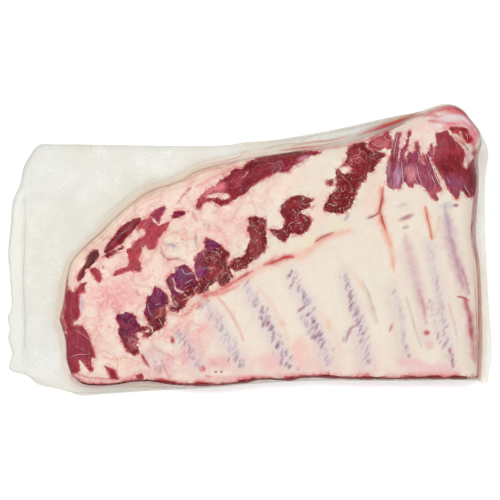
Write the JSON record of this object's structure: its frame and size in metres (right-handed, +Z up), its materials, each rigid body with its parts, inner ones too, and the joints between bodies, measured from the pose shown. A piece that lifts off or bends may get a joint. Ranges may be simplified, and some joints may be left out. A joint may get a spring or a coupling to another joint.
{
  "type": "raw pork ribs",
  "caption": "Raw untrimmed rack of pork spare ribs, bone side up, sealed in a clear clinging vacuum bag with a flat film margin.",
  "frame": {"origin": "on the surface that the bag lies on, under the middle of the bag's box", "axes": "+X along the rack from its thin flank end to its breastbone end, +Y from the sawn edge to the belly edge, +Z up out of the bone side"},
  "size_m": [0.485, 0.2924, 0.0405],
  "materials": {
    "ribs": "pale fat and membrane with dark red lean muscle, seen through clear glossy film"
  },
  "bodies": {
    "root": {"bagged_ribs": "ribs"}
  },
  "joints": []
}
